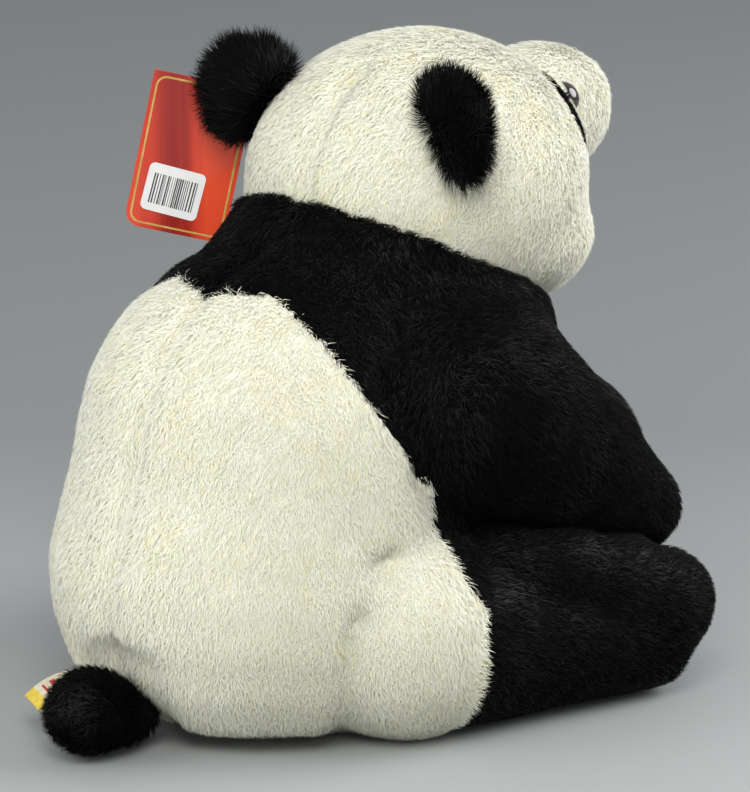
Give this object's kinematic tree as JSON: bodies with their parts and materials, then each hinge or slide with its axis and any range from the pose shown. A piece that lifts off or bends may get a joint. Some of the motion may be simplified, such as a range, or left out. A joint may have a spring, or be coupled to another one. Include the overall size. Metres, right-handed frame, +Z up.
{
  "type": "plush panda",
  "caption": "Sitting plush panda with jointed head, ears, limbs and tail, sewn from white and black pile panels over soft filling.",
  "frame": {"origin": "on the ground, on the flat base panel under the seat", "axes": "+Z up, the face looks along -Y, the panda's left side is +X"},
  "size_m": [0.2594, 0.337, 0.29],
  "materials": {
    "white_plush": "soft short pile, ivory with creamier patches",
    "black_plush": "soft short pile, deep black with faint glints",
    "filling": "matt polyester filling",
    "pouch_cloth": "thin matt lining cloth",
    "pellets": "smooth plastic beads",
    "eye_plastic": "polished, very dark brown",
    "washer_plastic": "plain moulded",
    "nose_plastic": "semi-gloss black",
    "thread": "black embroidery thread",
    "tag_card": "coated card, red with a fine gold line",
    "sticker_paper": "white matt label with dark bars",
    "fastener_nylon": "translucent nylon",
    "label_ribbon": "woven cream ribbon with a yellow edge"
  },
  "bodies": {
    "torso": {"back_panel_left": "white_plush", "back_panel_right": "white_plush", "belly_panel": "white_plush", "yoke_left": "black_plush", "yoke_right": "black_plush", "base_panel": "white_plush", "torso_stuffing": "filling", "bean_pouch_bottom": "pouch_cloth", "bean_pouch_top": "pouch_cloth", "bean_pellets": "pellets"},
    "neck": {"neck_stuffing": "filling"},
    "head": {"head_side_left": "white_plush", "head_side_right": "white_plush", "face_panel": "white_plush", "muzzle": "white_plush", "head_stuffing": "filling", "eye_patch_left": "black_plush", "eye_patch_right": "black_plush", "eye_left": "eye_plastic", "eye_right": "eye_plastic", "eye_washer_left": "washer_plastic", "eye_washer_right": "washer_plastic", "nose": "nose_plastic", "mouth_stitch": "thread"},
    "ear_left": {"ear_back_left": "black_plush", "ear_front_left": "black_plush", "tag_fastener": "fastener_nylon"},
    "ear_right": {"ear_back_right": "black_plush", "ear_front_right": "black_plush"},
    "arm_left": {"arm_outer_left": "black_plush", "arm_inner_left": "black_plush", "arm_stuffing_left": "filling"},
    "arm_right": {"arm_outer_right": "black_plush", "arm_inner_right": "black_plush", "arm_stuffing_right": "filling"},
    "leg_left": {"thigh_panel_left": "white_plush", "leg_outer_left": "black_plush", "leg_inner_left": "black_plush", "foot_sole_left": "black_plush", "leg_stuffing_left": "filling"},
    "leg_right": {"thigh_panel_right": "white_plush", "leg_outer_right": "black_plush", "leg_inner_right": "black_plush", "foot_sole_right": "black_plush", "leg_stuffing_right": "filling"},
    "tail": {"tail_top": "black_plush", "tail_under": "black_plush", "tail_stuffing": "filling"},
    "hang_tag": {"hang_tag": "tag_card", "tag_sticker": "sticker_paper"},
    "care_label": {"care_label": "label_ribbon"}
  },
  "joints": [
    {"name": "head_turn", "type": "hinge", "parent": "torso", "child": "neck", "pos_m": [0, -0.09, 0.222], "axis": [0, -0.2588, 0.9659], "range_deg": [-12, 12]},
    {"name": "head_nod", "type": "hinge", "parent": "neck", "child": "head", "pos_m": [0, -0.09, 0.222], "axis": [1, 0, 0], "range_deg": [-3, 12]},
    {"name": "ear_fold_left", "type": "hinge", "parent": "head", "child": "ear_left", "pos_m": [0.049, -0.052, 0.252], "axis": [-0.427, -0.0985, 0.8989], "range_deg": [-8, 14]},
    {"name": "ear_fold_right", "type": "hinge", "parent": "head", "child": "ear_right", "pos_m": [-0.049, -0.052, 0.252], "axis": [-0.427, 0.0985, -0.8989], "range_deg": [-8, 14]},
    {"name": "arm_lift_left", "type": "hinge", "parent": "torso", "child": "arm_left", "pos_m": [0.08, -0.052, 0.139], "axis": [-0.7222, -0.341, 0.6018], "range_deg": [0, 50]},
    {"name": "arm_lift_right", "type": "hinge", "parent": "torso", "child": "arm_right", "pos_m": [-0.08, -0.052, 0.139], "axis": [-0.7222, 0.341, -0.6018], "range_deg": [0, 50]},
    {"name": "leg_splay_left", "type": "hinge", "parent": "torso", "child": "leg_left", "pos_m": [0.074, -0.026, 0.044], "axis": [0, 0, 1], "range_deg": [-4, 15]},
    {"name": "leg_splay_right", "type": "hinge", "parent": "torso", "child": "leg_right", "pos_m": [-0.074, -0.026, 0.044], "axis": [0, 0, -1], "range_deg": [-4, 15]},
    {"name": "tail_wag", "type": "hinge", "parent": "torso", "child": "tail", "pos_m": [0, 0.084, 0.016], "axis": [0, 0, 1], "range_deg": [-12, 12]},
    {"name": "tag_swing", "type": "hinge", "parent": "ear_left", "child": "hang_tag", "pos_m": [0.08393, -0.05607, 0.25297], "axis": [0.7071, -0.7071, 0], "range_deg": [0, 15]},
    {"name": "label_flap", "type": "hinge", "parent": "torso", "child": "care_label", "pos_m": [0.032, 0.084, 0.024], "axis": [0.9063, -0.4226, 0], "range_deg": [0, 35]}
  ]
}
